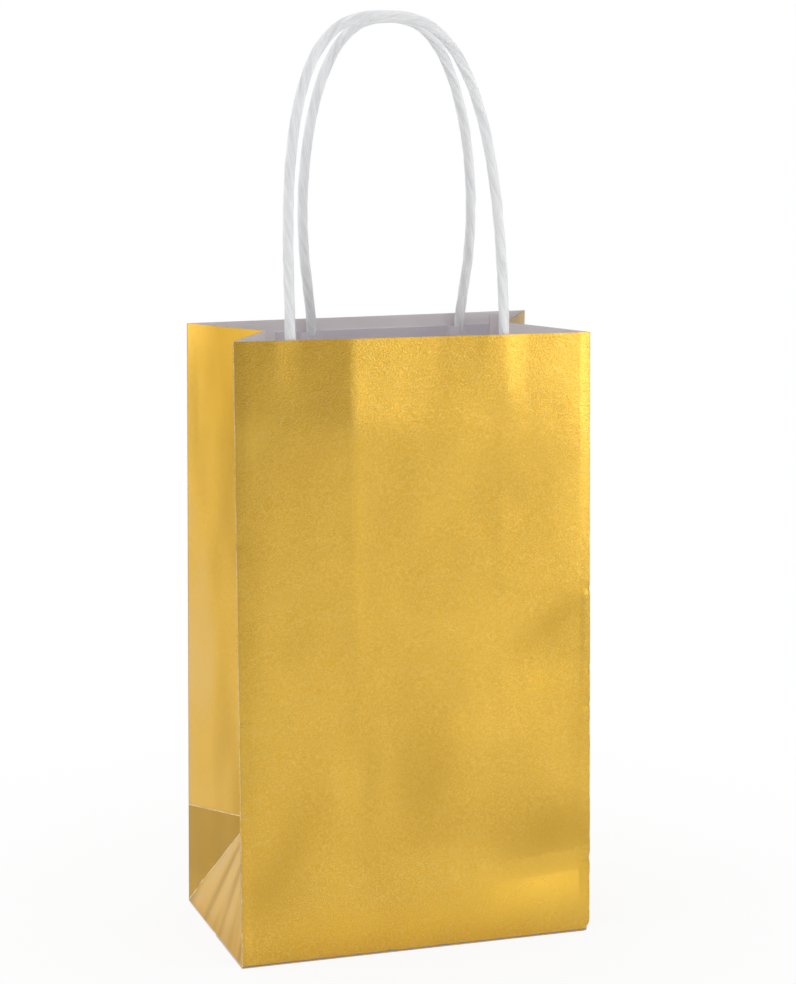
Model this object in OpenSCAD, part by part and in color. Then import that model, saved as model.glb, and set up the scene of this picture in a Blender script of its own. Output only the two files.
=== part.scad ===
// Small paper gift bag with two twisted-paper handles.
// X runs across the front, +Y to the back and +Z up. The origin is on the
// standing surface, under the middle of the bag.

/* [Bag] */
// Width of the front and back panels
bag_w = 133; // [100:1:200]
// Height of the panels, measured along the paper
bag_h = 220; // [160:1:300]
// Depth of the base, which is also the full width of a gusset
bag_d = 75; // [55:1:110]
// Distance between the front and back panels at the mouth
mouth_d = 63; // [45:1:70]
// Thickness of the foil-faced paper
paper_t = 0.25; // [0.15:0.05:0.5]
// How far the gusset's lower fold point is pushed in
fold_in = 10; // [6:1:20]
// Width of the glued lap that closes the tube
lap_w = 14; // [8:1:20]
// How far the base flaps overlap each other
base_overlap = 20; // [10:1:30]
// How far the side tucks reach in under the base
tuck_reach = 30; // [15:1:35]

/* [Handles] */
// Diameter of the twisted paper cord
cord_d = 3.8; // [2.5:0.1:6]
// Height of each handle's arch above its hinge line
arch_h = 109; // [70:1:150]
// Distance between the front handle's legs
front_span = 79.2; // [50:0.2:84]
// Distance of the front handle's middle from the bag's middle
front_offset = -5.8; // [-12:0.1:12]
// Distance between the rear handle's legs at their widest
rear_span = 70; // [45:0.2:84]
// How much the rear handle's legs close up at the mouth, each
rear_pinch = 6; // [0:0.1:8]
// Lean of each handle towards the other, from upright
handle_lean = 5; // [0:0.5:8]
// How far the front arch drifts sideways to its top
front_drift = -2.1; // [-8:0.1:8]
// How far the rear arch drifts sideways to its top
rear_drift = -2.4; // [-8:0.1:8]

/* [Handle patches] */
// Width of the front patch
front_patch_w = 92; // [70:1:100]
// Width of the rear patch
rear_patch_w = 84; // [70:1:100]
// Height of each patch
patch_h = 36; // [25:1:50]
// Distance of each patch below the mouth's edge
patch_drop = 4.6; // [2:0.1:12]
// Length of cord glued between a patch's two plies
cord_glued = 30; // [20:1:34]

/* [Hidden] */

gold = "goldenrod";
paper_white = "whitesmoke";
patch_grey = "gainsboro";

// Clearances
crease_gap = 0.2;
hinge_gap = 0.3;
cord_gap = 0.05;
lap_gap = 0.45;

// The base is three layers of paper, and the walls stand on it
base_t = 3 * paper_t;
front_lean = asin((bag_d - mouth_d) / bag_h);
back_h = bag_h * cos(front_lean);
cord_r = cord_d / 2;
// Middle of the cord, from the panel's inner face
cord_depth = paper_t + cord_gap + cord_r;
// Height of the handles' hinge lines above the panel's upper edge
hinge_rise = cord_r + hinge_gap;
// The rear patch lies beside the glued lap, and its handle in the patch's middle
rear_offset = bag_w / 2 - paper_t - crease_gap - lap_w - lap_gap - rear_patch_w / 2;
half_gusset = bag_d / 2;
lap_chamfer = 5;
tuck_chamfer = 6;
flap_chamfer = 12;
// How square each arch's right and left shoulders are: 2 is a plain ellipse
front_shoulders = [2.7, 2.9];
rear_shoulders = [2.4, 2.7];
arch_steps = 36;
cord_sides = 10;
round_fn = 48;

// A point on the leaning front panel, in the bag's frame
function front_point(x, y, z) = [
    x,
    -bag_d / 2 + y * cos(front_lean) + z * sin(front_lean),
    base_t - y * sin(front_lean) + z * cos(front_lean)
];

// Sits its children on the front panel: y runs in from its outer face
module on_front_panel() {
    translate([0, -bag_d / 2, base_t]) rotate([-front_lean, 0, 0]) children();
}

// Sits its children on the back panel: y runs in from its outer face
module on_back_panel() {
    translate([0, bag_d / 2, base_t]) mirror([0, 1, 0]) children();
}

module panel(height) {
    translate([-bag_w / 2, 0, crease_gap]) cube([bag_w, paper_t, height - crease_gap]);
}

module front_panel() {
    color(gold) on_front_panel() panel(bag_h);
}

module back_panel() {
    color(gold) on_back_panel() panel(back_h);
}

// A gusset's three rows of points: at the base, at the lower fold and at the
// mouth. Each row runs from the front corner by the centre crease to the back.
function gusset_rows(inset) = let(
    wall = paper_t + crease_gap,
    side = bag_w / 2 - inset,
    back_y = bag_d / 2 - wall,
    fold_z = sqrt(half_gusset * half_gusset - fold_in * fold_in),
    fold_front = front_point(side, wall, half_gusset),
    mouth_front = front_point(side, wall, bag_h),
    mouth_in = sqrt(half_gusset * half_gusset - mouth_d * mouth_d / 4),
    base_front = front_point(side, wall, 0)
) [
    [side, base_front[1], base_t], [side, 0, base_t], [side, back_y, base_t],
    fold_front,
    [side - fold_in, (fold_front[1] + back_y) / 2, base_t + fold_z],
    [side, back_y, base_t + half_gusset],
    mouth_front,
    [side - mouth_in, (mouth_front[1] + back_y) / 2, mouth_front[2]],
    [side, back_y, mouth_front[2]]
];

// A closed thin sheet between the outer and inner rows of points
module gusset_sheet() {
    outer = gusset_rows(0);
    inner = gusset_rows(paper_t);
    n = len(outer);
    skin = [
        [0, 3, 4], [0, 4, 1], [1, 4, 2], [2, 4, 5],
        [3, 6, 7], [3, 7, 4], [4, 7, 8], [4, 8, 5]
    ];
    rim = [0, 1, 2, 5, 8, 7, 6, 3];
    polyhedron(
        points = concat(outer, inner),
        faces = concat(
            skin,
            [for (f = skin) [f[2] + n, f[1] + n, f[0] + n]],
            [for (i = [0 : 7]) let(a = rim[i], b = rim[(i + 1) % 8]) [a, b, b + n, a + n]]
        )
    );
}

module right_gusset() {
    color(gold) gusset_sheet();
}

module left_gusset() {
    color(gold) mirror([1, 0, 0]) gusset_sheet();
}

// The strip that closes the tube, glued inside the back panel's right edge
module seam_lap() {
    far = bag_w / 2 - paper_t - crease_gap;
    color(paper_white) on_back_panel() translate([0, 2 * paper_t, 0]) rotate([90, 0, 0])
        linear_extrude(paper_t)
            polygon([
                [far - lap_w, crease_gap], [far - 1, crease_gap], [far - 1, back_h - 1],
                [far - lap_w + lap_chamfer, back_h - 1],
                [far - lap_w, back_h - 1 - lap_chamfer * 2]
            ]);
}

// One base flap: it starts at the edge and reaches past the middle
module base_flap(level) {
    reach = bag_d / 2 + base_overlap / 2;
    translate([0, -bag_d / 2, level * paper_t]) linear_extrude(paper_t)
        polygon([
            [-bag_w / 2, 0], [bag_w / 2, 0], [bag_w / 2, reach - flap_chamfer],
            [bag_w / 2 - flap_chamfer, reach], [-bag_w / 2 + flap_chamfer, reach],
            [-bag_w / 2, reach - flap_chamfer]
        ]);
}

module bottom_front_flap() {
    color(gold) base_flap(0);
}

module bottom_rear_flap() {
    color(gold) mirror([0, 1, 0]) base_flap(1);
}

// One side tuck: a trapezium folded in over the flaps
module side_tuck() {
    translate([bag_w / 2, 0, 2 * paper_t]) linear_extrude(paper_t)
        polygon([
            [0, -bag_d / 2], [0, bag_d / 2], [-tuck_reach, tuck_chamfer],
            [-tuck_reach, -tuck_chamfer]
        ]);
}

module bottom_right_tuck() {
    color(paper_white) side_tuck();
}

module bottom_left_tuck() {
    color(paper_white) mirror([1, 0, 0]) side_tuck();
}

// The ply of a patch that lies on a panel whose upper edge is at rim
module patch_backing(middle, width, rim) {
    translate([middle - width / 2, paper_t, rim - patch_drop - patch_h])
        cube([width, paper_t, patch_h]);
}

// Outline of a patch's channel over one cord end, seen from above
module channel(radius, depth) {
    translate([0, depth]) circle(radius, $fn = round_fn);
    translate([-radius, 0]) square([2 * radius, depth]);
}

// The ply that covers the cord ends, with a channel over each
module patch_cover(middle, width, span, rim) {
    inner_r = cord_r + cord_gap;
    translate([middle, 2 * paper_t, rim - patch_drop - patch_h]) linear_extrude(patch_h)
        difference() {
            union() {
                translate([-width / 2, 0]) square([width, paper_t]);
                for (side = [-1, 1]) translate([side * span / 2, 0])
                    channel(inner_r + paper_t, inner_r);
            }
            for (side = [-1, 1]) translate([side * span / 2, -paper_t])
                channel(inner_r, inner_r + paper_t);
        }
}

// The straight ends of a handle, from inside the patch up to the panel's edge
module handle_ends(middle, span, rim) {
    length = cord_glued + patch_drop;
    for (side = [-1, 1])
        translate([middle + side * span / 2, paper_t + cord_depth, rim - length])
            cylinder(h = length, r = cord_r, $fn = round_fn);
}

rear_feet = rear_span - 2 * rear_pinch;

module front_patch_backing() {
    color(patch_grey) on_front_panel() patch_backing(front_offset, front_patch_w, bag_h);
}

module front_patch_cover() {
    color(patch_grey) on_front_panel() patch_cover(front_offset, front_patch_w, front_span, bag_h);
}

module rear_patch_backing() {
    color(patch_grey) on_back_panel() patch_backing(rear_offset, rear_patch_w, back_h);
}

module rear_patch_cover() {
    color(patch_grey) on_back_panel() patch_cover(rear_offset, rear_patch_w, rear_feet, back_h);
}

module front_handle_ends() {
    color(paper_white) on_front_panel() handle_ends(front_offset, front_span, bag_h);
}

module rear_handle_ends() {
    color(paper_white) on_back_panel() handle_ends(rear_offset, rear_feet, back_h);
}

// A point of the arch in its own plane, at an angle from 0 to 180 degrees
function arch_point(angle, span, pinch, drift, shoulders) = let(
    side = cos(angle) < 0 ? -1 : 1,
    bend = 2 / shoulders[side < 0 ? 1 : 0],
    rise = pow(sin(angle), bend),
    reach = pow(abs(cos(angle)), bend),
    closing = pinch * pow(1 - rise, 4)
) [side * (reach * span / 2 - closing * reach) + drift * rise, rise * arch_h];

function arch_route(span, pinch, drift, shoulders) =
    [for (i = [0 : arch_steps]) arch_point(180 * i / arch_steps, span, pinch, drift, shoulders)];

// Direction of the route at point i, as a unit vector
function route_way(route, i) = let(
    last = len(route) - 1,
    step = i == 0 || i == last ? [0, i == 0 ? 1 : -1] : route[i + 1] - route[i - 1]
) step / norm(step);

// A round cord swept along a route that lies in the XZ plane
module swept_cord(route) {
    rings = len(route);
    points = [
        for (i = [0 : rings - 1]) let(way = route_way(route, i), out = [way[1], -way[0]])
            for (k = [0 : cord_sides - 1]) let(turn = 360 * k / cord_sides)
                [
                    route[i][0] + cord_r * cos(turn) * out[0],
                    cord_r * sin(turn),
                    route[i][1] + cord_r * cos(turn) * out[1]
                ]
    ];
    walls = [
        for (i = [0 : rings - 2], k = [0 : cord_sides - 1])
            let(
                a = i * cord_sides + k, b = i * cord_sides + (k + 1) % cord_sides,
                c = b + cord_sides, d = a + cord_sides
            )
                each [[a, c, b], [a, d, c]]
    ];
    first_cap = [for (k = [0 : cord_sides - 1]) k];
    last_cap = [for (k = [cord_sides - 1 : -1 : 0]) (rings - 1) * cord_sides + k];
    polyhedron(points = points, faces = concat(walls, [first_cap], [last_cap]));
}

// A handle's arch with a ball at each foot, which turns on the hinge line
module handle_arch(span, pinch, drift, shoulders) {
    swept_cord(arch_route(span, pinch, drift, shoulders));
    for (side = [-1, 1]) translate([side * (span / 2 - pinch), 0, 0])
        sphere(cord_r, $fn = round_fn);
}

module front_handle() {
    hinge = front_point(front_offset, paper_t + cord_depth, bag_h + hinge_rise);
    color(paper_white) translate(hinge) rotate([-handle_lean, 0, 0])
        handle_arch(front_span, 0, front_drift, front_shoulders);
}

module rear_handle() {
    hinge = [rear_offset, bag_d / 2 - paper_t - cord_depth, base_t + back_h + hinge_rise];
    color(paper_white) translate(hinge) rotate([handle_lean, 0, 0])
        handle_arch(rear_span, rear_pinch, rear_drift, rear_shoulders);
}

front_panel();
back_panel();
left_gusset();
right_gusset();
seam_lap();
bottom_front_flap();
bottom_rear_flap();
bottom_left_tuck();
bottom_right_tuck();
front_patch_backing();
front_patch_cover();
rear_patch_backing();
rear_patch_cover();
front_handle_ends();
rear_handle_ends();
front_handle();
rear_handle();
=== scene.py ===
"""Gold foil-paper gift bag with two twisted-paper handles, dressed on its CAD frame.

Metres, +Z up. The front panel faces -Y and leans back towards the mouth.
"""

import math

import bmesh
import bpy
from mathutils import Matrix, Vector, noise


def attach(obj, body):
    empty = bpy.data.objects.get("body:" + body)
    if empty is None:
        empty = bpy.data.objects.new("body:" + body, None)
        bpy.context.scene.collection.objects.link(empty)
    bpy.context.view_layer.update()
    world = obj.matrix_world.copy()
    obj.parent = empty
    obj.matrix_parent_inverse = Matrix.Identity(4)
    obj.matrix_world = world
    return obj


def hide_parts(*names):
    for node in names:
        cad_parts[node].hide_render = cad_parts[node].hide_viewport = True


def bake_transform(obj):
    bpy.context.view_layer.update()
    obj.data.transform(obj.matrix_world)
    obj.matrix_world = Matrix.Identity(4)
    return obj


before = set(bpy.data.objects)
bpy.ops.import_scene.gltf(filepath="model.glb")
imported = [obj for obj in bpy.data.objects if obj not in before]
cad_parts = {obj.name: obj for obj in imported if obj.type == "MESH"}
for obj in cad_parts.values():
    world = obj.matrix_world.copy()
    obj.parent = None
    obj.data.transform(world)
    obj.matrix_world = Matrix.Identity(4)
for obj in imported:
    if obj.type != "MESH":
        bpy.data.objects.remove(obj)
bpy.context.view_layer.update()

# ---------------------------------------------------------------- sizes
# The same sizes as in part.scad. The model is in metres. The functions that shape and shade
# the flat sheets take millimetres, where the first three sizes serve as they are.
MM = 0.001
WIDE, TALL, DEEP = 133, 220, 75
HALF_WIDE, HALF_DEEP = WIDE / 2, DEEP / 2
BAG_W, BAG_H, BAG_D, MOUTH_D = WIDE * MM, TALL * MM, DEEP * MM, 63 * MM
PAPER = 0.25 * MM
# Plies that lie on others are drawn a little thinner, so that no two faces share a plane.
GLUED_PLY, FOLDED_PLY = 0.9 * PAPER, 0.96 * PAPER
BASE_T = 3 * PAPER
HALF_W, HALF_D = BAG_W / 2, BAG_D / 2
FOLD_IN = 10 * MM
LAP_W, LAP_CUT, LAP_TRIM = 14 * MM, 5 * MM, 1.2 * MM
CREASE_GAP, GLUE_GAP = 0.2 * MM, 0.02 * MM
FLAP_OVERLAP, FLAP_CUT = 20 * MM, 12 * MM
FLAP_REACH = (BAG_D + FLAP_OVERLAP) / 2
TUCK_REACH, TUCK_CUT = 30 * MM, 6 * MM
LEAN = math.asin((BAG_D - MOUTH_D) / BAG_H)
BACK_H = BAG_H * math.cos(LEAN)
MOUTH_IN = math.sqrt(HALF_D**2 - MOUTH_D**2 / 4)
FOLD_Z = math.sqrt(HALF_D**2 - FOLD_IN**2)

CORD_R = 1.9 * MM
CORD_GAP, HINGE_GAP = 0.05 * MM, 0.3 * MM
CORD_DEPTH = 2 * PAPER + CORD_GAP + CORD_R
HINGE_RISE = CORD_R + HINGE_GAP
# a handle bends over this stretch, below and above the line it swings about
ARCH_H = 109 * MM
HANDLE_LEAN = math.radians(5)
PATCH_H, PATCH_DROP, CORD_GLUED = 36 * MM, 4.6 * MM, 30 * MM
FRONT_PATCH_W, REAR_PATCH_W = 92 * MM, 84 * MM
FRONT_SPAN, FRONT_MIDDLE, FRONT_DRIFT = 79.2 * MM, -5.8 * MM, -2.1 * MM
REAR_SPAN, REAR_MIDDLE, REAR_DRIFT = 70 * MM, 9.6 * MM, -2.4 * MM
REAR_PINCH = 6 * MM
FRONT_SHOULDERS, REAR_SHOULDERS = (2.7, 2.9), (2.4, 2.7)

FRONT_OUT = Vector((0, -math.cos(LEAN), math.sin(LEAN)))
FRONT_UP = Vector((0, math.sin(LEAN), math.cos(LEAN)))


def new_object(name, data):
    made = bpy.data.objects.new(name, data)
    bpy.context.scene.collection.objects.link(made)
    return made


# ------------------------------------------------------- camera, light, room
ROOM_LIGHT, PANEL_GLOW = 0.62, 5.0
CAMERA_PLACE = (-0.29017, -0.83914, 0.31449)
CAMERA_AIM = (0.32223, 0.93210, -0.16543)
CAMERA_ROLL = math.radians(0.58)
CAMERA_LENS, CAMERA_SHIFT = 90.585, (0.00756, -0.0126)


def place_camera():
    """The photograph's own view: from the front left, a little above."""
    aim = Vector(CAMERA_AIM).normalized()
    level = Vector((aim.y, -aim.x, 0)).normalized()
    rise = level.cross(aim)
    across = level * math.cos(CAMERA_ROLL) + rise * math.sin(CAMERA_ROLL)
    above = rise * math.cos(CAMERA_ROLL) - level * math.sin(CAMERA_ROLL)
    camera = new_object("camera", bpy.data.cameras.new("camera"))
    turn = Matrix((across, above, -aim)).transposed().to_4x4()
    camera.matrix_world = Matrix.Translation(CAMERA_PLACE) @ turn
    camera.data.lens = CAMERA_LENS
    camera.data.sensor_width = 36
    camera.data.shift_x, camera.data.shift_y = CAMERA_SHIFT
    camera.data.clip_start, camera.data.clip_end = 0.01, 20
    bpy.context.scene.camera = camera


def softbox(name, place, target, size, watts, mirrored=True):
    """A rectangular lamp, sized in metres. One that isn't mirrored shows in no gloss."""
    lamp = bpy.data.lights.new(name, "AREA")
    lamp.shape = "RECTANGLE"
    lamp.size, lamp.size_y = size
    lamp.energy = watts
    holder = new_object(name, lamp)
    holder.location = place
    holder.visible_glossy = mirrored
    way = Vector(target) - Vector(place)
    holder.rotation_euler = way.to_track_quat("-Z", "Y").to_euler()


def light_room():
    """Two tall side softboxes and a top one, in a white room. The gloss mirrors a room that
    is painted by direction: dim behind the camera and above, with a bright panel front right."""
    softbox("right_softbox", (0.92, -0.82, 0.10), (0, 0, 0.12), size=(0.9, 0.75), watts=6.5,
            mirrored=False)
    softbox("left_softbox", (-1.3, 0.0, 0.4), (0, 0, 0.12), size=(0.8, 1.2), watts=4)
    softbox("top_softbox", (-0.1, 0.1, 1.5), (0, 0, 0.1), size=(1.2, 1.2), watts=6)
    world = bpy.data.worlds.new("studio")
    bpy.context.scene.world = world
    world.use_nodes = True
    tree = world.node_tree
    tree.nodes.clear()
    out = tree.nodes.new("ShaderNodeOutputWorld")
    sky = add(tree, "ShaderNodeBackground", Color=(1, 1, 1, 1))
    compass = tree.nodes.new("ShaderNodeTexCoord").outputs["Generated"]
    way = add(tree, "ShaderNodeSeparateXYZ", Vector=compass).outputs
    room = ramp(tree, way["Y"], -0.95, 0.1, 0.4, 1.0)
    to_the_right = ramp(tree, way["X"], 0.22, 0.62, 0.0, PANEL_GLOW)
    to_the_front = ramp(tree, way["Y"], -0.5, -0.1, 1.0, 0.0)
    panel = maths(tree, "MULTIPLY", to_the_right, to_the_front)
    low_down = ramp(tree, way["Z"], -0.02, 0.22, 1.0, 0.3)
    mirrored = maths(tree, "MULTIPLY", maths(tree, "ADD", room, panel), low_down)
    ray = tree.nodes.new("ShaderNodeLightPath").outputs
    shiny = maths(tree, "MAXIMUM", ray["Is Glossy Ray"], ray["Is Transmission Ray"])
    dull = maths(tree, "SUBTRACT", 1.0, shiny)
    light = maths(tree, "ADD", maths(tree, "MULTIPLY", mirrored, shiny),
                  maths(tree, "MULTIPLY", dull, ROOM_LIGHT))
    tree.links.new(maths(tree, "MAXIMUM", light, ray["Is Camera Ray"]), sky.inputs["Strength"])
    tree.links.new(sky.outputs[0], out.inputs["Surface"])


def lay_floor():
    """A wide pale floor that keeps the bag's soft shadow and fades into the white room."""
    mesh = bpy.data.meshes.new("studio_floor")
    bm = bmesh.new()
    bmesh.ops.create_circle(bm, segments=64, radius=40, cap_ends=True)
    bm.to_mesh(mesh)
    bm.free()
    floor = new_object("studio_floor", mesh)
    material = bpy.data.materials.new("floor_white")
    material.use_nodes = True
    tree = material.node_tree
    tree.nodes.clear()
    out = tree.nodes.new("ShaderNodeOutputMaterial")
    paint = add(tree, "ShaderNodeBsdfDiffuse", Color=(0.92, 0.92, 0.92, 1))
    glow = add(tree, "ShaderNodeEmission", Color=(1, 1, 1, 1), Strength=1.0)
    place = tree.nodes.new("ShaderNodeTexCoord").outputs["Object"]
    away = add(tree, "ShaderNodeVectorMath", {"operation": "LENGTH"}, at0=place)
    far = ramp(tree, away.outputs["Value"], 0.08, 0.3, 0.88, 1.0)
    path = tree.nodes.new("ShaderNodeLightPath")
    share = maths(tree, "MULTIPLY", path.outputs["Is Camera Ray"], far)
    mix = tree.nodes.new("ShaderNodeMixShader")
    tree.links.new(share, mix.inputs["Fac"])
    tree.links.new(paint.outputs[0], mix.inputs[1])
    tree.links.new(glow.outputs[0], mix.inputs[2])
    tree.links.new(mix.outputs[0], out.inputs["Surface"])
    mesh.materials.append(material)


# ------------------------------------------------------------ shader groups
def new_group(name, inputs, outputs):
    group = bpy.data.node_groups.new(name, "ShaderNodeTree")
    for label, kind, value in inputs:
        socket = group.interface.new_socket(label, in_out="INPUT", socket_type=kind)
        if value is not None:
            socket.default_value = value
    for label, kind in outputs:
        group.interface.new_socket(label, in_out="OUTPUT", socket_type=kind)
    start = group.nodes.new("NodeGroupInput")
    end = group.nodes.new("NodeGroupOutput")
    return group, start, end


def join(tree, value, socket):
    """Sets an input: another node's output is joined to it, a plain value is written in it."""
    if isinstance(value, bpy.types.NodeSocket):
        tree.links.new(value, socket)
    else:
        socket.default_value = value


def add(tree, kind, settings=None, **values):
    """Adds a node and sets its inputs, each by its name or, as at0 and so on, by its number."""
    node = tree.nodes.new(kind)
    for key, value in (settings or {}).items():
        setattr(node, key, value)
    for key, value in values.items():
        name = key.replace("_", " ")
        join(tree, value, node.inputs[int(name[2:]) if name.startswith("at") else name])
    return node


def use_group(tree, group, **values):
    return add(tree, "ShaderNodeGroup", {"node_tree": group}, **values)


def maths(tree, operation, a, b, clamp=False):
    settings = {"operation": operation, "use_clamp": clamp}
    return add(tree, "ShaderNodeMath", settings, at0=a, at1=b).outputs[0]


def ramp(tree, value, start, end, low, high):
    """Eases from low to high while the value goes from start to end."""
    return add(tree, "ShaderNodeMapRange", {"interpolation_type": "SMOOTHSTEP"}, Value=value,
               From_Min=start, From_Max=end, To_Min=low, To_Max=high).outputs[0]


def tint(tree, share, low, high):
    """Mixes two colours by a share."""
    low, high = ((*colour, 1) if isinstance(colour, tuple) else colour for colour in (low, high))
    mix = add(tree, "ShaderNodeMix", {"data_type": "RGBA"}, at0=share, at6=low, at7=high)
    return mix.outputs[2]


def make_paper_grain():
    """Fine pressed grain of paper: a height and a speckle mask."""
    group, start, end = new_group(
        "paper_grain",
        [("Vector", "NodeSocketVector", None), ("Size mm", "NodeSocketFloat", 0.4)],
        [("Height", "NodeSocketFloat"), ("Speckle", "NodeSocketFloat")],
    )
    scale = maths(group, "DIVIDE", 1000.0, start.outputs["Size mm"])
    fine = add(group, "ShaderNodeTexNoise", Vector=start.outputs["Vector"], Scale=scale,
               Detail=3.0, Roughness=0.6)
    broad = add(group, "ShaderNodeTexNoise", Vector=start.outputs["Vector"],
                Scale=maths(group, "MULTIPLY", scale, 0.22), Detail=2.0, Roughness=0.5)
    height = maths(group, "ADD", maths(group, "MULTIPLY", fine.outputs[0], 0.6),
                   maths(group, "MULTIPLY", broad.outputs[0], 0.4))
    group.links.new(height, end.inputs["Height"])
    group.links.new(fine.outputs[0], end.inputs["Speckle"])
    return group


def make_soft_mottling():
    """Slow cloudy change over the sheet, from 0 to 1."""
    group, start, end = new_group(
        "soft_mottling",
        [("Vector", "NodeSocketVector", None), ("Size mm", "NodeSocketFloat", 40.0),
         ("Contrast", "NodeSocketFloat", 1.0)],
        [("Share", "NodeSocketFloat")],
    )
    scale = maths(group, "DIVIDE", 1000.0, start.outputs["Size mm"])
    cloud = add(group, "ShaderNodeTexNoise", Vector=start.outputs["Vector"], Scale=scale,
                Detail=3.0, Roughness=0.5, Distortion=0.4)
    centred = maths(group, "SUBTRACT", cloud.outputs[0], 0.5)
    contrast = maths(group, "MULTIPLY", start.outputs["Contrast"], 2.2)
    spread = maths(group, "MULTIPLY", centred, contrast)
    group.links.new(maths(group, "ADD", spread, 0.5, clamp=True), end.inputs["Share"])
    return group


def make_fold_wear():
    """Broken worn line within Width of a crease, and a wider band beside it that darkens the foil.
    Crease is the distance in mm.
    """
    group, start, end = new_group(
        "fold_wear",
        [("Vector", "NodeSocketVector", None), ("Crease", "NodeSocketFloat", 10.0),
         ("Width mm", "NodeSocketFloat", 0.35), ("Amount", "NodeSocketFloat", 0.5)],
        [("Worn", "NodeSocketFloat"), ("Fold band", "NodeSocketFloat")],
    )
    ragged = add(group, "ShaderNodeTexNoise", Vector=start.outputs["Vector"], Scale=900.0,
                 Detail=4.0, Roughness=0.7)
    along = add(group, "ShaderNodeTexNoise", Vector=start.outputs["Vector"], Scale=160.0,
                Detail=2.0, Roughness=0.6)
    reach = maths(group, "MULTIPLY", start.outputs["Width mm"],
                  maths(group, "ADD", 0.35, maths(group, "MULTIPLY", ragged.outputs[0], 1.3)))
    crease = start.outputs["Crease"]
    near = maths(group, "SUBTRACT", 1.0, maths(group, "DIVIDE", crease, reach), clamp=True)
    near = maths(group, "MULTIPLY", near, 2.5, clamp=True)
    breaks = maths(group, "MULTIPLY", maths(group, "SUBTRACT", along.outputs[0], 0.5), 5.0)
    broken = maths(group, "ADD", breaks, start.outputs["Amount"], clamp=True)
    worn = maths(group, "MULTIPLY", near, broken, clamp=True)
    fold_band_width = maths(group, "MULTIPLY", start.outputs["Width mm"], 5.0)
    fold_band = maths(group, "SUBTRACT", 1.0, maths(group, "DIVIDE", crease, fold_band_width), clamp=True)
    group.links.new(worn, end.inputs["Worn"])
    group.links.new(fold_band, end.inputs["Fold band"])
    return group


def make_twist_fibres():
    """Fine creases that run along the paper strip a cord is twisted from."""
    group, start, end = new_group(
        "twist_fibres",
        [("Vector", "NodeSocketVector", None), ("Size mm", "NodeSocketFloat", 0.4)],
        [("Height", "NodeSocketFloat")],
    )
    stretch = add(group, "ShaderNodeMapping", Vector=start.outputs["Vector"])
    stretch.inputs["Scale"].default_value = (1, 1, 0.07)
    scale = maths(group, "DIVIDE", 1000.0, start.outputs["Size mm"])
    fine = add(group, "ShaderNodeTexNoise", Vector=stretch.outputs[0], Scale=scale,
               Detail=3.0, Roughness=0.6)
    broad = add(group, "ShaderNodeTexNoise", Vector=stretch.outputs[0],
                Scale=maths(group, "MULTIPLY", scale, 0.4), Detail=2.0, Roughness=0.5)
    height = maths(group, "ADD", maths(group, "MULTIPLY", fine.outputs[0], 0.45),
                   maths(group, "MULTIPLY", broad.outputs[0], 0.55))
    group.links.new(height, end.inputs["Height"])
    return group


# ---------------------------------------------------------------- materials
def new_material(name):
    material = bpy.data.materials.new(name)
    material.use_nodes = True
    tree = material.node_tree
    shader = tree.nodes["Principled BSDF"]
    return material, tree, shader


def relief(tree, shader, height, strength, distance):
    """Raises the surface by a height, which is this many metres at its full strength."""
    bump = tree.nodes.new("ShaderNodeBump")
    bump.inputs["Strength"].default_value = strength
    bump.inputs["Distance"].default_value = distance
    tree.links.new(height, bump.inputs["Height"])
    tree.links.new(bump.outputs[0], shader.inputs["Normal"])


# Colours that every foil shares: its light grains, its painted shade with some random dulling, its
# darker band beside a fold, and the paper that shows through on a worn fold.
FOIL_GRAIN, SHADED_AND_DULLED_FOIL = (0.84, 0.56, 0.13), (0.50, 0.29, 0.03)
FOLD_BAND_FOIL, WORN_FOLD = (0.60, 0.36, 0.07), (0.86, 0.74, 0.46)


def gold_foil(name, deep, light, bright, wear, worn_width):
    """Foil-faced paper: deep and light are its clouds, bright its painted highlights and lighter
    places, wear how much of its folds is worn, worn_width the width of that wear in mm."""
    material, tree, shader = new_material(name)
    place = tree.nodes.new("ShaderNodeTexCoord").outputs["Object"]
    crease = add(tree, "ShaderNodeAttribute", {"attribute_name": "crease_mm"}).outputs["Fac"]
    grain = use_group(tree, PAPER_GRAIN, Vector=place, Size_mm=0.7)
    cloud = use_group(tree, SOFT_MOTTLING, Vector=place, Size_mm=34.0, Contrast=1.0)
    fold = use_group(tree, FOLD_WEAR, Vector=place, Crease=crease, Width_mm=worn_width, Amount=wear)
    gold = tint(tree, cloud.outputs["Share"], deep, light)
    speck = maths(tree, "MULTIPLY", maths(tree, "SUBTRACT", grain.outputs["Speckle"], 0.5), 2.6)
    sandy = tint(tree, maths(tree, "ADD", 0.3, speck, clamp=True), gold, FOIL_GRAIN)
    # tone_shift carries painted shade below 0 and painted highlights above 0, over a little random
    # tone
    shift = add(tree, "ShaderNodeAttribute", {"attribute_name": "tone_shift"}).outputs["Fac"]
    shaded_and_dulled = tint(tree, maths(tree, "MULTIPLY", shift, -1.0, clamp=True), sandy, SHADED_AND_DULLED_FOIL)
    highlit_and_lightened = tint(tree, maths(tree, "MULTIPLY", shift, 1.0, clamp=True), shaded_and_dulled, bright)
    # the foil is darker in a band beside each fold
    fold_banded = tint(tree, maths(tree, "MULTIPLY", fold.outputs["Fold band"], 0.35), highlit_and_lightened, FOLD_BAND_FOIL)
    bare = tint(tree, fold.outputs["Worn"], fold_banded, WORN_FOLD)
    tree.links.new(bare, shader.inputs["Base Color"])
    metal = maths(tree, "MULTIPLY", maths(tree, "SUBTRACT", 1.0, fold.outputs["Worn"]), 0.85)
    tree.links.new(metal, shader.inputs["Metallic"])
    rough = maths(tree, "ADD", 0.23, maths(tree, "MULTIPLY", cloud.outputs["Share"], 0.05))
    rough = maths(tree, "ADD", rough, maths(tree, "MULTIPLY", fold.outputs["Worn"], 0.3))
    tree.links.new(rough, shader.inputs["Roughness"])
    relief(tree, shader, grain.outputs["Height"], strength=0.4, distance=0.00016)
    return material


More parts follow.
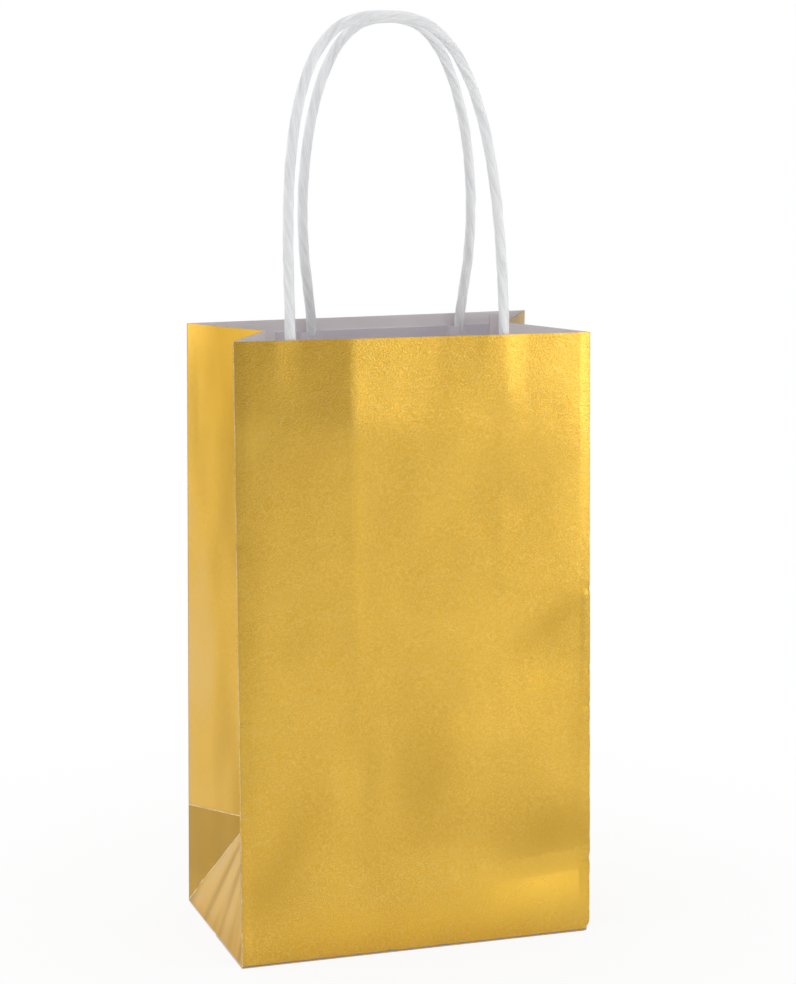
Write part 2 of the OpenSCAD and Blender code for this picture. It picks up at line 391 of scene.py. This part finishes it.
def plain_paper(name, low, high, rough=0.75):
    """Uncoated paper, clouded from low to high."""
    material, tree, shader = new_material(name)
    place = tree.nodes.new("ShaderNodeTexCoord").outputs["Object"]
    grain = use_group(tree, PAPER_GRAIN, Vector=place, Size_mm=0.5)
    cloud = use_group(tree, SOFT_MOTTLING, Vector=place, Size_mm=22.0, Contrast=1.0)
    tone = tint(tree, cloud.outputs["Share"], low, high)
    speck = maths(tree, "SUBTRACT", grain.outputs["Speckle"], 0.45)
    speck = maths(tree, "MULTIPLY", speck, 0.35, clamp=True)
    flecked = tint(tree, speck, tone, tuple(c * 0.8 for c in low))
    tree.links.new(flecked, shader.inputs["Base Color"])
    shader.inputs["Roughness"].default_value = rough
    relief(tree, shader, grain.outputs["Height"], strength=0.3, distance=0.00008)
    return material


def cord_paper(name, shaded, lit, valley_shade):
    """White paper strip with fibres along it, painted lighter on their ridges and darker between
    them, with painted shade in the valleys of the twist.
    """
    material, tree, shader = new_material(name)
    strip = add(tree, "ShaderNodeAttribute", {"attribute_name": "strip"}).outputs["Vector"]
    valley = add(tree, "ShaderNodeAttribute", {"attribute_name": "valley"}).outputs["Fac"]
    fibres = use_group(tree, TWIST_FIBRES, Vector=strip, Size_mm=0.6)
    shade = maths(tree, "MULTIPLY", maths(tree, "SUBTRACT", fibres.outputs["Height"], 0.5), 5.0)
    tone = tint(tree, maths(tree, "ADD", shade, 0.68, clamp=True), shaded, lit)
    tone = tint(tree, maths(tree, "MULTIPLY", valley, 0.35), tone, valley_shade)
    tree.links.new(tone, shader.inputs["Base Color"])
    shader.inputs["Roughness"].default_value = 0.6
    relief(tree, shader, fibres.outputs["Height"], strength=1.0, distance=0.0011)
    return material


PAPER_GRAIN = make_paper_grain()
SOFT_MOTTLING = make_soft_mottling()
FOLD_WEAR = make_fold_wear()
TWIST_FIBRES = make_twist_fibres()
FOIL = gold_foil("gold_foil", deep=(0.72, 0.42, 0.045), light=(0.79, 0.475, 0.06),
                 bright=(0.96, 0.585, 0.07), wear=0.05, worn_width=0.3)
# The gussets' foil is a lighter copy of the same foil, painted light, with a paler painted
# highlight colour and more worn folds.
GUSSET_FOIL_PAINTED_LIGHTER = gold_foil("gusset_gold_foil_painted_lighter", deep=(0.80, 0.455, 0.05), light=(0.90, 0.525, 0.075),
                        bright=(0.86, 0.58, 0.22), wear=0.9, worn_width=0.2)
INSIDE = plain_paper("white_inner_paper", (0.80, 0.755, 0.76), (0.86, 0.81, 0.82))
# The patch paper is painted greyer and more lavender than the inner paper: painted shade.
SHADED_PATCH = plain_paper("patch_paper", (0.70, 0.655, 0.71), (0.76, 0.715, 0.77))
CORD = cord_paper("twisted_paper", (0.78, 0.795, 0.815), (0.97, 0.972, 0.975), (0.55, 0.57, 0.60))


# ------------------------------------------------------------- sheet shapes
def clamped(share):
    return max(0.0, min(1.0, share))


def smooth(share):
    return share * share * (3 - 2 * share)


def waves(x, z, wide, high, seed):
    """Smooth noise from -1 to 1 with waves about this wide and high."""
    return noise.noise(Vector((x / wide, z / high, seed)))


def crest(x, z, start, end, left, right, height, fade=10, soft=0.5, power=1.3):
    """Height in mm of a fold line at (x, z). left and right are how far its sides run out, fade
    the length over which it rises at each end, soft how round it is and power how hollow."""
    run = math.hypot(end[0] - start[0], end[1] - start[1])
    ux, uz = (end[0] - start[0]) / run, (end[1] - start[1]) / run
    along = (x - start[0]) * ux + (z - start[1]) * uz
    across = (z - start[1]) * ux - (x - start[0]) * uz
    away = math.sqrt(across * across + soft * soft) - soft
    share = 1 - away / (left if across > 0 else right)
    if share <= 0 or along <= 0 or along >= run:
        return 0.0
    return height * share**power * smooth(min(1.0, along / fade, (run - along) / fade))


def edge_fade(x, z, reach=4.0):
    """0 at the panel's side and bottom edges and 1 further in, in mm."""
    return (clamped((HALF_WIDE - abs(x)) / reach) * clamped(z / reach)) ** 1.2


# Small knocks in the front corner folds: side, height in mm, depth in mm.
KNOCKS = ((1, 127, 0.35), (1, 98, 0.3), (1, 84, 0.3), (1, 27, 0.45),
          (-1, 150, 0.12), (-1, 88, 0.15), (-1, 61, 0.12))
KNOCK_HEIGHT, KNOCK_WIDTH = 1.1, 1.6
# How far in from a corner fold its own shift still moves the panel and the gusset, in mm.
CORNER_REACH, GUSSET_REACH = 5, 4


def knock(side, z):
    """How far the corner fold is pushed in at this height, in mm."""
    return sum(d * math.exp(-(((z - at) / KNOCK_HEIGHT) ** 2)) for s, at, d in KNOCKS if s == side)


# The fold lines of a panel, in mm from its middle and foot, as crest takes them.
FRONT_CRESTS = (
    # the handle's patch and cord ends press out near the mouth
    ((-51.5, 190), (-51.5, 260), 14, 8, 0.15, 20, 1.5),
    ((-24, 154), (-24, 260), 34, 120, 0.95, 40),
    ((33.8, 188), (33.8, 260), 26, 7.5, 0.22, 16),
    ((7, 160), (-2, 236), 22, 24, -0.07, 20, 1.0),
    ((5, 160), (34, 236), 20, 12, 0.06, 20, 1.0),
    # long soft lines
    ((-22.5, 90), (-23.5, 210), 3.5, 3.5, 0.03, 20),
    ((-22.5, 36), (-22.5, 98), 4, 3, 0.05, 12),
    ((32, 55), (31.5, 200), 3, 3, 0.015, 20),
    # folds and dents of the lower half
    ((-15, 40), (-15, 84), 6, 6, 0.07, 14, 1.0),
    ((12, 36), (9, 90), 26, 50, 0.35, 18, 4.0),
    ((22, 90), (74, 124), 20, 26, -0.26, 30, 2.0, 2.0),
    ((22, 20), (100, 27), 30, 18, -0.6, 34, 0.3, 1.8),
    ((-44, 34), (46, 38), 40, 26, -0.4, 24, 2.5, 1.8),
    ((-72, 2), (-24, 52), 30, 18, -0.5, 18, 1.5, 1.8),
)
BACK_CRESTS = (
    # the glued lap and the cord's two ends press through
    ((51.5, 4), (51.5, 240), 2, 60, 0.25, 6),
    ((-19.4, 186), (-19.4, 250), 7, 7, 0.3, 14, 1.0),
    ((38.6, 186), (38.6, 250), 7, 7, 0.3, 14, 1.0),
    # the base was once folded up here, and the sheet was creased by hand
    ((-80, 38), (80, 38), 14, 20, 0.35, 24, 0.8, 1.6),
    ((-70, 120), (-20, 92), 16, 22, -0.5, 26, 1.5, 2.0),
    ((26, 150), (72, 168), 14, 20, 0.5, 22, 1.0, 2.0),
)
CROWN, FRONT_STRENGTH = 0.4, 1.6


def front_relief(x, z):
    """How far the front panel stands out from flat, in mm."""
    left, right = HALF_WIDE + x, HALF_WIDE - x
    # near the mouth and the foot, the panel rounds off more towards its right edge
    rounded = max(0.0, min(1.0, (z - 112) / 26), min(0.6, (24 - z) / 8))
    falls_off = (0.2 + 0.7 * rounded) * math.exp(-right / (3 + 4 * rounded))
    crown = CROWN * (1 - math.exp(-left / 4)) * (1 - falls_off) * (1 - math.exp(-z / 6))
    out = sum(crest(x, z, *fold) for fold in FRONT_CRESTS)
    out += 0.2 * waves(x, z, 38, 60, 3.1) + 0.03 * waves(x, z, 9, 14, 7.7)
    dent = knock(1, z) * math.exp(-right / KNOCK_WIDTH)
    dent += knock(-1, z) * math.exp(-left / KNOCK_WIDTH)
    return crown + FRONT_STRENGTH * out * edge_fade(x, z) - 0.7 * dent * min(1.0, left, right)


def back_relief(x, z):
    """How far the back panel stands out from flat, in mm."""
    out = sum(crest(x, z, *fold) for fold in BACK_CRESTS)
    out += 0.6 * waves(x, z, 45, 60, 13.1) + 0.06 * waves(x, z, 10, 16, 17.7)
    return out * edge_fade(x, z)


# Two small nicks in the front panel's bottom edge, in mm from its left edge.
NICKS = (55, 75)
NICK_WIDTH, NICK_DEPTH = 0.9, 1.2


def front_at(x, up, inward=0.0):
    """A point on the front panel: inward is the depth below its outer face."""
    out = front_relief(x / MM, up / MM) * MM - inward
    left, right, foot = (HALF_W + x) / MM, (HALF_W - x) / MM, up / MM
    shift = corner_shift(1, up) * max(0.0, 1 - right / CORNER_REACH)
    shift += corner_shift(-1, up) * max(0.0, 1 - left / CORNER_REACH)
    shift += foot_curl(right, foot)
    for at in NICKS:
        share = math.exp(-(((left - at) / NICK_WIDTH) ** 2) - foot / NICK_DEPTH)
        shift += Vector((0, 0.25, 0.3)) * MM * share
    return Vector((x, -HALF_D, BASE_T)) + FRONT_UP * up + FRONT_OUT * out + shift


def foot_curl(side, foot):
    """How the lower right corner of the front is worn round, side and foot mm away from it."""
    share = (max(0.0, 1 - side / 4) * max(0.0, 1 - foot / 3.5)) ** 2
    return Vector((-1.3, 0.4, 0.5)) * MM * share


def corner_shift(side, up):
    """How far a front corner fold leaves its straight line."""
    pushed = knock(side, up / MM)
    sway = 0.12 * noise.noise(Vector((up / MM / 12, side * 5.0, 1.0)))
    return Vector((-side * (pushed * 0.8 + 0.12 + sway), pushed * 0.3, 0)) * MM


def back_lift(x, up):
    """How far the back panel's paper sits up towards the mouth, more at the right."""
    return (0.9 + 0.9 * x / HALF_W) * MM * smooth(clamped((up / MM - 130) / 90))


def back_at(x, up, inward=0.0, lifted=True):
    """A point on the back panel: inward is the depth below its outer face."""
    out = back_relief(x / MM, up / MM) * MM - inward
    return Vector((x, HALF_D + out, BASE_T + up + (back_lift(x, up) if lifted else 0.0)))


def back_line(x, up, inward):
    """A point in the rear cord, which the lift of the panel leaves where it is."""
    return back_at(x, up, inward, lifted=False)


def gusset_relief(s, t):
    """Bow of a gusset's paper, in mm, zero on its folds."""
    fade = min(1.0, s / 6, (DEEP - s) / 6, abs(s - HALF_DEEP) / 6)
    fade *= min(1.0, abs(t - HALF_DEEP) / 8, t / 5)
    return 0.6 * fade * (0.5 * waves(s, t, 16, 40, 21.3) + 0.15)


def gusset_at(side, s, t):
    """A point of a gusset's sheet: s runs from its front edge to its back edge, t up."""
    half = HALF_D
    edge = side * HALF_W

    def front(up):
        return Vector((edge, -HALF_D, BASE_T)) + FRONT_UP * up

    def back(up):
        return Vector((edge, HALF_D, BASE_T + up + back_lift(edge, up)))

    apex = Vector((edge - side * FOLD_IN, (front(half).y + HALF_D) / 2, BASE_T + FOLD_Z))
    loose = corner_shift(side, t) * max(0.0, 1 - s / MM / GUSSET_REACH)
    if side > 0:
        loose += foot_curl(s / MM, t / MM)
    if t >= half:
        rise = (t - half) / (BAG_H - half)
        top = (front(BAG_H) + back(BACK_H)) / 2 - Vector((side * MOUTH_IN, 0, 0))
        if s < half:
            low, high = front(half).lerp(apex, s / half), front(BAG_H).lerp(top, s / half)
        else:
            low, high = apex.lerp(back(half), s / half - 1), top.lerp(back(BACK_H), s / half - 1)
        point = low.lerp(high, rise)
    elif s < t:
        point = front(0).lerp(front(half), t / half) + (apex - front(half)) * (s / half)
    elif 2 * half - s < t:
        point = back(0).lerp(back(half), t / half) + (apex - back(half)) * ((2 * half - s) / half)
    else:
        middle = (front(0) + back(0)) / 2
        point = front(0).lerp(back(0), s / (2 * half)) + (apex - middle) * (t / half)
    point.x += side * gusset_relief(s / MM, t / MM) * MM
    return point + loose


# ------------------------------------------------------------ sheet building
FAR = 50.0  # mm, a distance at which a crease leaves no mark
UV_SCALE = 4  # the sheets' UV squares are 250 mm wide


def flat_sheet(width, height, columns, rows, crowd=0.0):
    """A flat grid from (0, 0) to (width, height). crowd packs columns at both sides."""
    bm = bmesh.new()
    bmesh.ops.create_grid(bm, x_segments=columns, y_segments=rows, size=0.5)
    for v in bm.verts:
        u = v.co.x + 0.5
        u -= crowd * math.sin(2 * math.pi * u) / (2 * math.pi)
        v.co = ((u * width), (v.co.y + 0.5) * height, 0)
    return bm


def score(bm, point, way, spread=0.0, keep_side=None):
    """Cuts the flat sheet along a line through point: for a fold, with a second and third cut
    at the spread to both sides, or to trim what lies off the side to keep."""
    way = Vector((*way, 0)).normalized()
    normal = Vector((-way.y, way.x, 0))
    for shift in (0.0, spread, -spread) if spread else (0.0,):
        bmesh.ops.bisect_plane(bm, geom=bm.verts[:] + bm.edges[:] + bm.faces[:], dist=1e-6,
                               plane_co=Vector((*point, 0)) + normal * shift, plane_no=normal,
                               clear_outer=keep_side == "right", clear_inner=keep_side == "left")


def add_values(mesh, name, values):
    mesh.attributes.new(name, "FLOAT", "POINT").data.foreach_set("value", values)


def finish_sheet(name, bm, place, outward, materials, body=None, creases=None, tones=None,
                 thickness=PAPER):
    """Folds the flat sheet into place and gives it its thickness, with the first material on
    the side that faces outward. creases and tones are functions of the flat sheet, in mm."""
    mesh = bpy.data.meshes.new(name)
    flat = [(v.co.x / MM, v.co.y / MM) for v in bm.verts]
    to_crease = [creases(x, z) if creases else FAR for x, z in flat]
    tone_shift = [tones(x, z) if tones else 0.0 for x, z in flat]
    uv = bm.loops.layers.uv.new("sheet")
    for face in bm.faces:
        face.smooth = True
        for loop in face.loops:
            loop[uv].uv = (loop.vert.co.x * UV_SCALE, loop.vert.co.y * UV_SCALE)
    for edge in bm.edges:
        edge.smooth = not edge.is_boundary
    for v in bm.verts:
        v.co = place(v.co.x, v.co.y)
    bm.normal_update()
    facing = sum((f.normal * f.calc_area() for f in bm.faces), Vector())
    if facing.dot(Vector(outward)) < 0:
        bmesh.ops.reverse_faces(bm, faces=bm.faces[:])
    bm.to_mesh(mesh)
    bm.free()
    add_values(mesh, "crease_mm", to_crease)
    add_values(mesh, "tone_shift", tone_shift)
    for material in materials:
        mesh.materials.append(material)
    piece = new_object(name, mesh)
    wall = piece.modifiers.new("paper_thickness", "SOLIDIFY")
    wall.thickness = thickness
    wall.offset = -1
    wall.use_even_offset = True
    if len(materials) > 1:
        wall.material_offset = 1
    if body:
        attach(piece, body)
    return piece


# ---------------------------------------------------------- the bag's walls
def side_crease(x, z):
    """Distance to the nearer side fold of a panel's sheet, in mm."""
    return min(x, WIDE - x)


# Spots of painted shade on the front foil, in mm from the panel's lower left corner: middle, half
# width, half height, turn in degrees and depth. A depth below 0 is a painted highlight.
FRONT_SPOTS = (
    (70, 60, 13, 24, 0, 0.3), (47, 62, 4, 20, 0, 0.2), (66, 9, 62, 8, 0, -0.4),
    (14, 32, 9, 26, -28, 0.35), (122, 118, 17, 6, 32, 0.4), (80, 196, 9, 22, 0, 0.16),
    (115, 94, 9, 6, 30, -0.3), (116, 19, 24, 8, 4, -0.7), (3, 110, 5, 90, 0, 0.12),
    (129, 75, 5, 30, 0, 0.22), (44, 150, 2.5, 50, 0, -0.12),
)
# The shade over the fold at the lower right, which stops at the fold itself.
FOLD_SHADE, BELOW_FOLD = (118, 38, 22, 13, 4, 0.5), 0.2
# The strip of painted shade along the left of the mouth: the height it starts at and its right end,
# in mm.
MOUTH_STRIP_FOOT, MOUTH_STRIP_END = 186, 42.5


def spot(x, z, middle_x, middle_z, half_width, half_height, turn, depth):
    """Depth of a soft oval spot at (x, z)."""
    a = math.radians(turn)
    dx, dz = x - middle_x, z - middle_z
    u = (dx * math.cos(a) + dz * math.sin(a)) / half_width
    v = (dz * math.cos(a) - dx * math.sin(a)) / half_height
    return depth * math.exp(-u * u - v * v)


def front_tone(x, z):
    """Painted shade (below 0) and painted highlights (above 0) over the front panel's sheet, on a
    little random tone.
    """
    strip = clamped((z - MOUTH_STRIP_FOOT) / 10) * clamped((MOUTH_STRIP_END - x) / 1.2)
    strip *= 1 - spot(x, z, 15, 214, 4, 14, 0, 0.7)
    above_fold = z > 29 + 0.1 * (x - 110)
    shade = 0.2 * strip + spot(x, z, *FOLD_SHADE) * (1.0 if above_fold else BELOW_FOLD)
    shade += sum(spot(x, z, *place) for place in FRONT_SPOTS)
    return 0.1 * waves(x, z, 14, 14, 5.5) - shade


def back_tone(x, z):
    """The foil's dulling over the back panel's sheet, which doesn't show in the photograph."""
    return 0.16 * waves(x, z, 16, 22, 8.5) - 0.1


def level_fold(s):
    """Height of the gusset's level fold, which rises a little to the middle, in mm."""
    return HALF_DEEP + 6.5 * min(s, DEEP - s) / HALF_DEEP


def gusset_tone(side, s, t):
    """Painted light and shade over a gusset's sheet: painted streaks on the base's triangle,
    painted shade from there to the level fold, and above that a painted highlight band and more
    painted shade towards the inner fold and the mouth."""
    cloud = waves(s, t, 9, 26, side * 4.4)
    if t < min(s, DEEP - s):
        fan = math.atan2(s - 18, 66 - t)
        return 1.3 * noise.noise(Vector((fan * 12, 2.2, t / 60))) - 0.15
    if t < level_fold(s):
        return -0.85 + 0.15 * cloud + 0.45 * max(0.0, 1 - t / 16)
    from_inner_fold = min(1.0, abs(s - HALF_DEEP) / HALF_DEEP)
    near = 1 - from_inner_fold
    high = clamped((t - 120) / 90)
    painted_shade = 0.42 * near**2 + 0.42 * high + 0.8 * high * near
    painted_shade += 1.5 * max(0.0, high - 0.55) * near**1.5
    painted_highlight = 0.4 * math.exp(-(((t - 105) / 48) ** 2)) * (0.4 + from_inner_fold**2)
    return painted_highlight - painted_shade + 0.3 * cloud


def make_walls():
    """The front panel leans on its base crease. The back panel stands upright."""
    sheet = flat_sheet(BAG_W, BAG_H, 120, 172, crowd=0.7)
    front = finish_sheet("front_sheet", sheet, lambda x, z: front_at(x - HALF_W, z), (0, -1, 0),
                         [FOIL, INSIDE], "front_wall", side_crease, front_tone)
    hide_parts("front_panel")
    sheet = flat_sheet(BAG_W, BACK_H, 90, 140, crowd=0.6)
    back = finish_sheet("back_sheet", sheet, lambda x, z: back_at(x - HALF_W, z), (0, 1, 0),
                        [FOIL, INSIDE], "bag", side_crease, back_tone)
    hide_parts("back_panel")


def gusset_crease(s, t):
    """Distance to the nearest fold of a gusset's sheet, in mm."""
    inner = abs(s - HALF_DEEP) if t > HALF_DEEP - 0.5 else FAR
    slanted = min(abs(s - t), abs(DEEP - s - t)) / math.sqrt(2) if t <= HALF_DEEP + 0.1 else FAR
    # the first, missed try at the rear slanted fold
    missed = abs(DEEP - s - t * 0.8 - 1.5) + 0.05 if t <= 20 else FAR
    return min(s + 0.16, DEEP - s + 0.16, inner, abs(t - level_fold(s)), slanted, missed)


# How far to each side of a gusset's fold lines the second and third cuts run.
FOLD_SPREAD = 0.4 * MM


def make_gussets():
    """Both gussets: each a sheet scored along its folds and folded into place between the front and
    back walls."""
    rise = (level_fold(HALF_DEEP) - level_fold(0)) * MM
    for side, name in ((-1, "left_gusset"), (1, "right_gusset")):
        sheet = flat_sheet(BAG_D, BAG_H, 60, 172, crowd=0.5)
        score(sheet, (HALF_D, 0), (0, 1), FOLD_SPREAD)
        score(sheet, (0, HALF_D), (HALF_D, rise), FOLD_SPREAD)
        score(sheet, (BAG_D, HALF_D), (-HALF_D, rise), FOLD_SPREAD)
        score(sheet, (0, 0), (1, 1), FOLD_SPREAD)
        score(sheet, (BAG_D, 0), (-1, 1), FOLD_SPREAD)
        piece = finish_sheet(name + "_sheet", sheet, lambda s, t, side=side: gusset_at(side, s, t),
                             (side, 0, 0), [GUSSET_FOIL_PAINTED_LIGHTER, INSIDE], creases=gusset_crease,
                             tones=lambda s, t, side=side: gusset_tone(side, s, t))
        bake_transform(piece)
        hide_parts(name)


def make_lap():
    """The strip that closes the tube, inside the right edge of the back panel."""
    height = BACK_H - LAP_TRIM
    sheet = flat_sheet(LAP_W - 1 * MM, height, 10, 90)
    score(sheet, (LAP_CUT, height), (LAP_CUT, LAP_CUT * 2), keep_side="left")
    left = HALF_W - PAPER - CREASE_GAP - LAP_W
    lap = finish_sheet("seam_lap_sheet", sheet,
                       lambda x, z: back_at(left + x, z + CREASE_GAP, PAPER + GLUE_GAP), (0, 1, 0),
                       [INSIDE], "bag", thickness=GLUED_PLY)
    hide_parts("seam_lap")


# -------------------------------------------------------------- the base
def base_at(x, y, z):
    """A point of the base, which follows the front's worn corner."""
    worn = foot_curl((HALF_W - x) / MM, (y + HALF_D) / MM)
    return Vector((x + worn.x, y + worn.y, z))


def make_base():
    """Two flaps fold under the bag and meet over its two side tucks."""
    for name, level, way in (("bottom_front_flap", 0, 1), ("bottom_rear_flap", 1, -1)):
        sheet = flat_sheet(BAG_W, FLAP_REACH, 66, 24, crowd=0.5)
        score(sheet, (0, FLAP_REACH - FLAP_CUT), (1, 1), keep_side="right")
        score(sheet, (BAG_W, FLAP_REACH - FLAP_CUT), (-1, 1), keep_side="left")

        def under(x, y, height=level * PAPER, way=way):
            return base_at(x - HALF_W, way * (y - HALF_D), height)

        flap = finish_sheet(name + "_sheet", sheet, under, (0, 0, -1), [FOIL, INSIDE], "bag",
                            thickness=FOLDED_PLY)
        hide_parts(name)
    for name, side in (("bottom_left_tuck", -1), ("bottom_right_tuck", 1)):
        sheet = flat_sheet(TUCK_REACH, BAG_D, 16, 36)
        slope = (TUCK_REACH, HALF_D - TUCK_CUT)
        score(sheet, (0, 0), slope, keep_side="left")
        score(sheet, (0, BAG_D), (slope[0], -slope[1]), keep_side="right")

        def inside(x, y, side=side):
            return base_at(side * (HALF_W - x), y - HALF_D, BASE_T)

        tuck = finish_sheet(name + "_sheet", sheet, inside, (0, 0, 1), [INSIDE], "bag",
                            thickness=FOLDED_PLY)
        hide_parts(name)


# -------------------------------------------------------------- the patches
def make_patches():
    """Two plies on each panel, the inner one bulging over the cord's two ends."""
    for end, body, at, width, middle, span, rim in (
        ("front", "front_wall", front_at, FRONT_PATCH_W, FRONT_MIDDLE, FRONT_SPAN, BAG_H),
        ("rear", "bag", back_at, REAR_PATCH_W, REAR_MIDDLE, REAR_SPAN - 2 * REAR_PINCH, BACK_H),
    ):
        low, left = rim - PATCH_DROP - PATCH_H, middle - width / 2
        inner = (0, 1, 0) if end == "front" else (0, -1, 0)
        sheet = flat_sheet(width, PATCH_H, 60, 24)
        backing = finish_sheet(
            end + "_patch_backing_sheet", sheet, lambda x, z: at(left + x, low + z, 2 * PAPER),
            inner, [SHADED_PATCH], body, thickness=GLUED_PLY)
        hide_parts(end + "_patch_backing")

        def over_cord(x, z):
            off = abs(abs(x - width / 2) - span / 2)
            top = 2 * (CORD_R + CORD_GAP)
            bulge = top * max(0.0, 1 - (off / (CORD_R * 2.1)) ** 2)
            skirt = top * 0.12 * math.exp(-((off / (5 * MM)) ** 2))
            return at(left + x, low + z, 3 * PAPER + max(bulge, skirt))

        sheet = flat_sheet(width, PATCH_H, 130, 24)
        cover = finish_sheet(end + "_patch_cover_sheet", sheet, over_cord, inner, [SHADED_PATCH], body,
                             thickness=GLUED_PLY)
        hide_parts(end + "_patch_cover")


# -------------------------------------------------------------- the handles
LEG_STEPS, ARCH_STEPS = 14, 120
TWIST_PITCH, RING_STEP, RING_SIDES = 40 * MM, 0.8 * MM, 44
VALLEY_DEPTH = 0.12  # share of the cord's radius


def arch_point(angle, span, pinch, drift, shoulders):
    """A point of the arch, across and up: a squarer or rounder shoulder on each side, feet
    pinched together by pinch, and a top that drifts sideways."""
    side = 1 if math.cos(angle) >= 0 else -1
    bend = 2 / shoulders[0 if side > 0 else 1]
    rise = max(0.0, math.sin(angle)) ** bend
    reach = abs(math.cos(angle)) ** bend
    pinched = span / 2 - pinch * (1 - rise) ** 4
    return side * reach * pinched + drift * rise, rise * ARCH_H


def handle_route(at, middle, span, pinch, drift, shoulders, rim, lean):
    """Points along one handle, from one glued end over the arch to the other. The arch leans
    to the back where lean is -1 and to the front where it is 1."""
    feet = span - 2 * pinch
    inset = PAPER + CORD_DEPTH

    def leg(side, up):
        return at(middle + side * feet / 2, up, inset)

    hinge = at(middle, rim + HINGE_RISE, inset)
    low = rim - PATCH_DROP - CORD_GLUED
    legs = [low + (rim - low) * i / LEG_STEPS for i in range(LEG_STEPS)]
    route = [leg(1, up) for up in legs]
    for i in range(ARCH_STEPS + 1):
        x, up = arch_point(math.pi * i / ARCH_STEPS, span, pinch, drift, shoulders)
        route.append(Vector((hinge.x + x, hinge.y - lean * up * math.sin(HANDLE_LEAN),
                             hinge.z + up * math.cos(HANDLE_LEAN))))
    route += [leg(-1, up) for up in reversed(legs)]
    return route


def even_steps(route, step):
    """The same route with its points a step apart, smoothed a little."""
    for _ in range(6):
        route = [route[0]] + [
            route[i] * 0.5 + (route[i - 1] + route[i + 1]) * 0.25 for i in range(1, len(route) - 1)
        ] + [route[-1]]
    lengths = [0.0]
    for a, b in zip(route, route[1:]):
        lengths.append(lengths[-1] + (b - a).length)
    count = round(lengths[-1] / step)
    points, i = [], 0
    for k in range(count + 1):
        goal = lengths[-1] * k / count
        while i < len(lengths) - 2 and lengths[i + 1] < goal:
            i += 1
        share = (goal - lengths[i]) / max(lengths[i + 1] - lengths[i], 1e-9)
        points.append(route[i].lerp(route[i + 1], min(1.0, share)))
    return points, lengths[-1]


def cord_outline(turn):
    """Outline of the twisted strip's bundle: a few uneven soft ridges, 1 at the highest."""
    ridges = 0.5 * abs(math.cos(turn * 1.5)) ** 0.7 + 0.3 * abs(math.cos(turn * 2.5 + 0.8)) ** 0.6
    return 0.86 + 0.14 * min(1.0, ridges + 0.2 * abs(math.cos(turn * 5.5 + 2)))


def twisted_cord(name, route):
    """A straight twisted cord, spun from one lobed ring, then laid along the route."""
    points, length = even_steps(route, RING_STEP)
    rings = len(points) - 1
    bm = bmesh.new()
    ring = bmesh.ops.create_circle(bm, segments=RING_SIDES, radius=CORD_R, cap_ends=False)
    for v in ring["verts"]:
        v.co *= cord_outline(math.atan2(v.co.y, v.co.x))
    twist = -2 * math.pi * length / TWIST_PITCH
    bmesh.ops.spin(bm, geom=bm.edges[:], cent=(0, 0, 0), axis=(0, 0, 1),
                   dvec=(0, 0, length / rings), angle=twist, steps=rings, use_duplicate=False)
    bmesh.ops.holes_fill(bm, edges=[e for e in bm.edges if e.is_boundary], sides=0)
    bmesh.ops.recalc_face_normals(bm, faces=bm.faces[:])
    strip, valley = [], []
    for v in bm.verts:
        k = min(rings, max(0, round(v.co.z / length * rings)))
        turn = math.atan2(v.co.y, v.co.x) - twist * v.co.z / length
        radius = math.hypot(v.co.x, v.co.y)
        strip.append((math.cos(turn) * CORD_R, math.sin(turn) * CORD_R, v.co.z))
        valley.append(clamped((1 - radius / CORD_R) / VALLEY_DEPTH))
        ahead = (points[min(rings, k + 1)] - points[max(0, k - 1)]).normalized()
        across = Vector((0, 1, 0)).cross(ahead).normalized()
        side = ahead.cross(across)
        swell = 1 + 0.06 * noise.noise(Vector((v.co.z * 90, turn, 2.0)))
        v.co = points[k] + (across * v.co.x + side * v.co.y) * swell
    for face in bm.faces:
        face.smooth = True
    mesh = bpy.data.meshes.new(name)
    bm.to_mesh(mesh)
    bm.free()
    layer = mesh.attributes.new("strip", "FLOAT_VECTOR", "POINT")
    layer.data.foreach_set("vector", [c for p in strip for c in p])
    add_values(mesh, "valley", valley)
    mesh.materials.append(CORD)
    return new_object(name, mesh)


def make_handles():
    """Each cord runs from patch to patch and bends where it leaves the mouth."""
    route = handle_route(front_at, FRONT_MIDDLE, FRONT_SPAN, 0, FRONT_DRIFT, FRONT_SHOULDERS,
                         BAG_H, -1)
    front = twisted_cord("front_handle_cord", route)
    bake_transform(front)
    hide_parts("front_handle", "front_handle_ends")
    route = handle_route(back_line, REAR_MIDDLE, REAR_SPAN, REAR_PINCH, REAR_DRIFT, REAR_SHOULDERS,
                         BACK_H, 1)
    rear = twisted_cord("rear_handle_cord", route)
    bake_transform(rear)
    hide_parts("rear_handle", "rear_handle_ends")


place_camera()
light_room()
lay_floor()
make_walls()
make_gussets()
make_lap()
make_base()
make_patches()
make_handles()

bpy.context.scene.view_settings.view_transform = "Standard"
